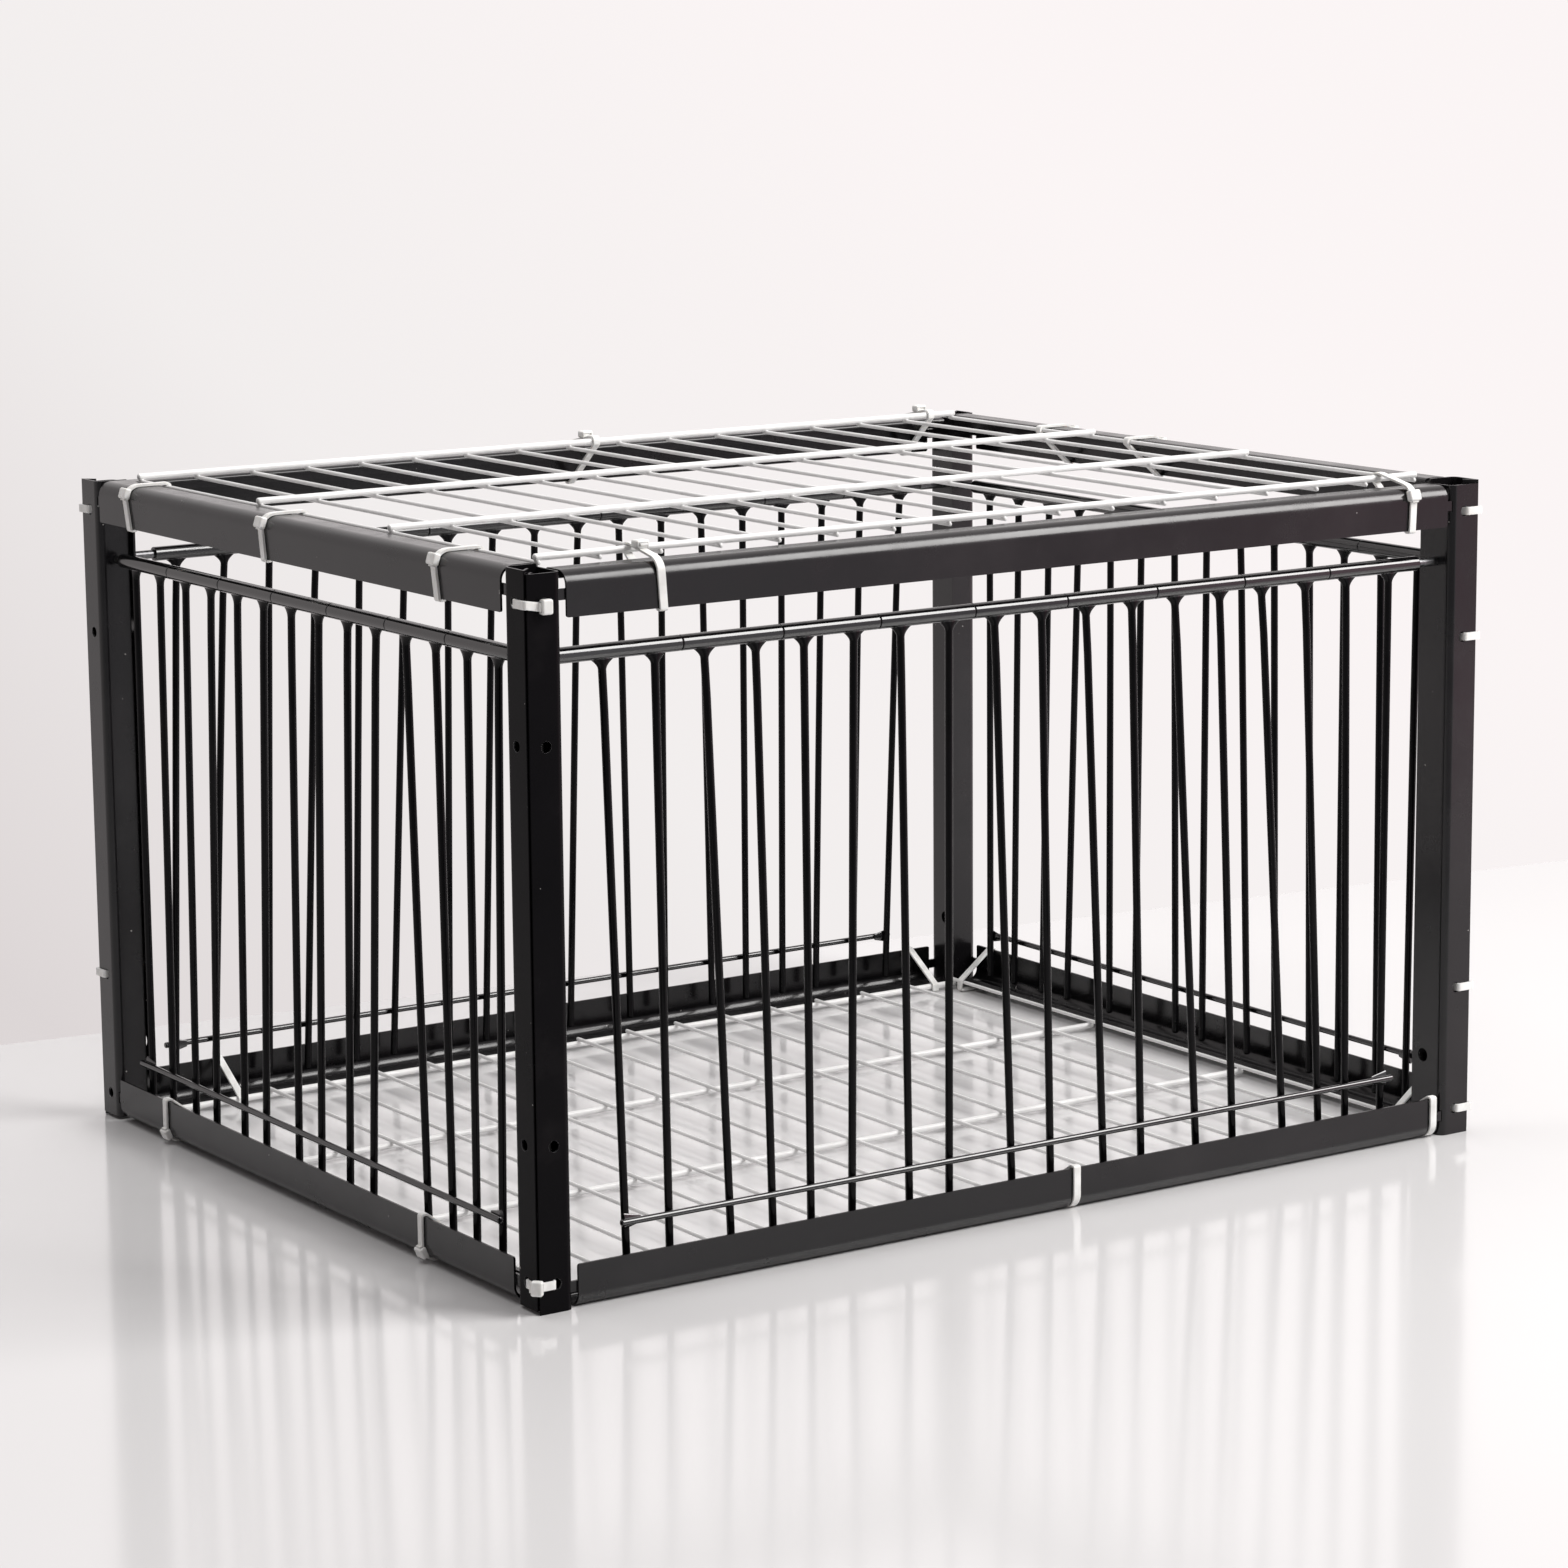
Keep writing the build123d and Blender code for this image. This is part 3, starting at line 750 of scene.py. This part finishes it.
def makeStrap(points, radii):
    # the path lies in XY and closes on itself, the strap's width lies along Z
    points = [Vector(p) for p in points]
    run = points[1] - points[0]
    middle = (points[0] + points[1]) / 2
    obj = addPlane(run.length, tie["width"], (middle.x, middle.y, 0), (quarter, 0, math.atan2(run.y, run.x)))
    pick(obj, "EDGE", lambda e: lies(e, x=points[1].x, y=points[1].y))
    for here, there in zip(points[1:], points[2:] + points[:1]):
        extrudeBy((there.x - here.x, there.y - here.y, 0))
    cleanNormals(obj)
    for number, radius in enumerate(radii):
        here, before, after = points[number], points[number - 1], points[(number + 1) % len(points)]
        turnBy = (here - before).angle(after - here)
        pick(obj, "EDGE", lambda e: lies(e, x=here.x, y=here.y))
        bevelPicked(radius * math.tan(turnBy / 2), 8 if radius > 2 * mm else 4)
    deselect()
    applyModifier(obj, "SOLIDIFY", thickness=tie["thick"], offset=0, use_even_offset=True)
    softenEdges(obj, tie["edge"])
    return obj


def makeHead(place, turn):
    # block with a mouth at each end for the strap and the stub of the cut tail on top
    long, tall, wide = tie["headLong"] / 2, tie["headTall"] / 2, tie["headWide"] / 2
    obj = addBlock((-long, -tall, -wide), (long, tall, wide))
    softenEdges(obj, tie["headRound"], 4)
    mouths = []
    for side in (-1, 1):
        ends = sorted((side * (long - tie["mouthDeep"]), side * (long + tie["mouthDeep"])))
        mouths.append(addBlock((ends[0], -tie["mouthTall"] / 2, -tie["mouthWide"] / 2),
                               (ends[1], tie["mouthTall"] / 2, tie["mouthWide"] / 2)))
    cut(obj, mouths)
    stub = addBlock((-long - tie["tail"], -tie["thick"] / 2, -tie["width"] / 2),
                    (0, tie["thick"] / 2, tie["width"] / 2))
    softenEdges(stub, tie["edge"])
    weld(obj, [stub])
    obj.matrix_world = Matrix.Translation((place[0], place[1], 0)) @ Matrix.Rotation(turn, 4, "Z")
    return settle(obj)


def slantStrap(obj, slant, below):
    # the lower end of the strap strays sideways
    pick(obj, "VERT", lambda v: v.co.y < below)
    bpy.ops.transform.translate(value=(0, 0, slant))
    deselect()


def makeRoofTie(panel, wireInset, wireLevel, wireRadius, head, slant):
    top = panel["lift"] + cageHeight
    bottom = top - railTall - tieOffset
    clear = wireRadius + tieOffset
    over = max(top + tieOffset, wireLevel + clear)
    beyond = wireInset + clear
    points = [(-tieOffset, bottom), (-tieOffset, top + tieOffset), (wireInset - clear, over), (beyond, over),
              (beyond, wireLevel - clear / 2), (rail["sheet"] + tieOffset, bottom)]
    bend = tie["bend"]
    obj = makeStrap(points, [bend, rail["shoulder"] + tieOffset - 0.3 * mm, bend, clear * 0.9, bend, bend])
    if head == "shoulder":
        weld(obj, [makeHead((-tie["roofHeadOut"], top - tie["roofHeadDrop"]), roofHeadTurn)])
    else:
        weld(obj, [makeHead((rail["depth"] - tie["headLong"] / 4, over + tie["headTall"] / 2 - tie["thick"]), 0)])
    slantStrap(obj, slant, top - tie["slantDrop"])
    return obj


def makeFloorTie(panel, wireInset, wireLevel, wireRadius, head):
    top = panel["lift"] + railTall + tieOffset
    clear = wireRadius + tieOffset
    under = tie["thick"] / 2 if panel["lift"] == 0 else panel["lift"] - tieOffset
    beyond = wireInset + clear
    points = [(-tieOffset, top), (rail["sheet"] + tieOffset, top), (beyond, wireLevel + clear / 2), (beyond, under),
              (-tieOffset, under)]
    bend = tie["bend"]
    shoulder = rail["shoulder"] + tieOffset - 0.3 * mm
    obj = makeStrap(points, [bend, bend, bend, bend, shoulder])
    if head == "shoulder":
        weld(obj, [makeHead((-tie["floorHeadOut"], panel["lift"] + tie["floorHeadRise"]), floorHeadTurn)])
    return obj


def makeCornerTie(head):
    inset = stile["tieInset"]
    leg = stile["tieLeg"]        # pulled to the corner side of the holes
    points = [(-tieOffset, -tieOffset), (leg, -tieOffset), (leg, leg), (-tieOffset, leg)]
    bend = tie["bend"]
    obj = makeStrap(points, [bend] * 4)
    outside = -tie["gap"] - tie["headTall"] / 2
    across = outside / math.sqrt(2) + 0.2 * mm
    spot, turn = {"own": ((inset, outside), 0), "other": ((outside, inset), quarter),
                  "across": ((across, across), -quarter / 2)}[head]
    weld(obj, [makeHead(spot, turn)])
    if head != "across":        # the end with the head hangs a little lower
        pick(obj, "VERT", lambda v: (v.co.x if head == "own" else v.co.y) > 3 * mm)
        bpy.ops.transform.translate(value=(0, 0, -tie["sag"]))
    deselect()
    return obj


# Corner ties: panel, which end of it, level, and the stile that carries the head, or across both
cornerTies = [
    ("front", -1, 3, "own"), ("front", -1, 0, "across"),
    ("front", 1, 3, "other"), ("front", 1, 2, "other"), ("front", 1, 1, "other"), ("front", 1, 0, "other"),
    ("back", 1, 3, "own"), ("back", 1, 1, "own"), ("back", -1, 3, "own"), ("back", -1, 0, "own"),
]
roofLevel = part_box("roof_mesh")[1].z - wire["long"]
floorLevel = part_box("floor_mesh")[0].z + wire["long"]
crossStep = wire["long"] + wire["cross"] - wire["bite"]
upright = Matrix(((0, 0, 1, 0), (1, 0, 0, 0), (0, 1, 0, 0), (0, 0, 0, 1)))       # drawn XY stands up across a rail

for group, ties, maker in (("roof", roofTies, makeRoofTie), ("floor", floorTies, makeFloorTie)):
    number = 0
    for name, places in ties.items():
        panel = panels[name]
        short = panel["lift"] > 0
        level = roofLevel if group == "roof" else floorLevel
        if short:
            level += -crossStep if group == "roof" else crossStep
        inset = panel["reach"] - (wire["half"] if short else wire["side"])
        for at, head, *slant in places:
            number += 1
            radius = wire["cross"] if short else wire["long"]
            master = maker(panel, inset, level, radius, head, *[stray * mm for stray in slant])
            stand = panel["place"] @ Matrix.Translation((at * mm, 0, 0)) @ upright
            obj = placedCopy(master, "tieDraft", stand)
            finishPiece(obj, group + "Tie" + str(number), group + "_ties", nylonFinish)
            drop(master)
for number, (name, hand, level, head) in enumerate(cornerTies):
    master = makeCornerTie(head)
    flip = Matrix.Diagonal((-hand, 1, 1, 1))
    stand = panels[name]["place"] @ Matrix.Translation((hand * panels[name]["half"], 0, tieLevels[level])) @ flip
    obj = placedCopy(master, "tieDraft", stand)
    finishPiece(obj, "cornerTie" + str(number + 1), "corner_ties", nylonFinish)
    drop(master)
print("ties pulled tight")


# Floor, light and camera

floor = dict(edgeLeft=(-0.232, 0.356), edgeRight=(0.726, 0.236), deep=1.0, wide=3.4,
             colour=(0.71, 0.705, 0.71), shade=(0.68, 0.675, 0.68))


def makeFloorFinish():
    finish, nodes, links, shader, place = newFinish("paleFloor")
    cloud = noise(nodes, links, place, 1.5, 3)
    colour = tones(nodes, links, cloud, [(0.3, floor["shade"]), (0.7, floor["colour"])])
    links.new(colour, shader.inputs["Base Color"])
    links.new(spread(nodes, links, cloud, 0.09, 0.13), shader.inputs["Roughness"])
    return finish


left, right = Vector(floor["edgeLeft"]), Vector(floor["edgeRight"])
along = (right - left).normalized()
inFront = Vector((along.y, -along.x))
centre = (left + right) / 2 + inFront * floor["deep"] / 2
ground = addPlane(floor["wide"], floor["deep"], (centre.x, centre.y, 0), (0, 0, math.atan2(along.y, along.x)))
ground.name = "floor"
ground.data.materials.append(makeFloorFinish())

studio = dict(wall=[(0.0, (0.72, 0.675, 0.675)), (0.47, (0.885, 0.855, 0.85)), (1.0, (0.965, 0.915, 0.915))],
              fill=0.40,
              room=[(0.36, (0.30, 0.29, 0.30)), (0.49, (1.0, 0.97, 1.0)), (0.59, (0.55, 0.52, 0.55)),
                    (0.67, (1.0, 0.68, 0.77))])


def makeWorld():
    # pale wall behind the cage; a dim room, warmer to the right, mirrored from in front of it
    world = bpy.data.worlds.new("studio")
    bpy.context.scene.world = world
    world.use_nodes = True
    nodes, links = world.node_tree.nodes, world.node_tree.links
    back = nodes["Background"]
    place = nodes.new("ShaderNodeTexCoord")
    split = nodes.new("ShaderNodeSeparateXYZ")
    links.new(place.outputs["Generated"], split.inputs["Vector"])
    path = nodes.new("ShaderNodeLightPath")

    def reckon(operation, first, second):
        node = nodes.new("ShaderNodeMath")
        node.operation = operation
        for socket, value in zip(node.inputs, (first, second)):
            if isinstance(value, (int, float)):
                socket.default_value = value
            else:
                links.new(value, socket)
        return node.outputs[0]

    # the wall pales from the lower left to the upper right
    slope = reckon("ADD", split.outputs["X"], reckon("MULTIPLY", split.outputs["Z"], 0.8))
    wall = tones(nodes, links, spread(nodes, links, slope, 0, 1, 0.22, 0.56), studio["wall"])
    room = tones(nodes, links, split.outputs["X"], studio["room"])
    inFront = spread(nodes, links, split.outputs["Y"], 1, 0, -0.45, 0.25)
    around = nodes.new("ShaderNodeMix")
    around.data_type = "RGBA"
    links.new(reckon("MULTIPLY", inFront, path.outputs["Is Glossy Ray"]), around.inputs["Factor"])
    links.new(wall, around.inputs["A"])
    links.new(room, around.inputs["B"])
    links.new(around.outputs["Result"], back.inputs["Color"])
    shown = reckon("MAXIMUM", path.outputs["Is Glossy Ray"], path.outputs["Is Transmission Ray"])
    shown = reckon("MAXIMUM", shown, path.outputs["Is Camera Ray"])
    links.new(reckon("MAXIMUM", shown, studio["fill"]), back.inputs["Strength"])


makeWorld()

softboxes = [
    dict(name="key", at=(1.25, -1.25, 1.62), aim=(0, 0, 0.2), size=(1.35, 1.3), power=62, colour=(1, 0.985, 0.97)),
    dict(name="top", at=(-0.3, 0.7, 2.3), aim=(0, 0, 0.2), size=(2.0, 1.4), power=26, colour=(1, 0.99, 0.98)),
]
for box in softboxes:
    lamp = bpy.data.lights.new(box["name"], "AREA")
    lamp.shape, lamp.size, lamp.size_y = "RECTANGLE", box["size"][0], box["size"][1]
    lamp.energy, lamp.color = box["power"], box["colour"]
    stand = bpy.data.objects.new(box["name"], lamp)
    stand.location = box["at"]
    stand.rotation_euler = (Vector(box["aim"]) - Vector(box["at"])).to_track_quat("-Z", "Y").to_euler()
    stand.visible_camera = False
    bpy.context.scene.collection.objects.link(stand)

camera = dict(at=(-1.14639, -1.72031, 0.53970), azimuth=-33.806, tilt=79.603, roll=-0.518, lens=104.76)
lens = bpy.data.cameras.new("camera")
lens.lens, lens.sensor_width = camera["lens"], 36
view = bpy.data.objects.new("camera", lens)
turns = [Matrix.Rotation(math.radians(camera[k]), 4, axis)
         for k, axis in (("azimuth", "Z"), ("tilt", "X"), ("roll", "Z"))]
view.matrix_world = Matrix.Translation(camera["at"]) @ turns[0] @ turns[1] @ turns[2]
bpy.context.scene.collection.objects.link(view)
bpy.context.scene.camera = view
bpy.context.scene.view_settings.view_transform = "Standard"
print("floor, light and camera set")
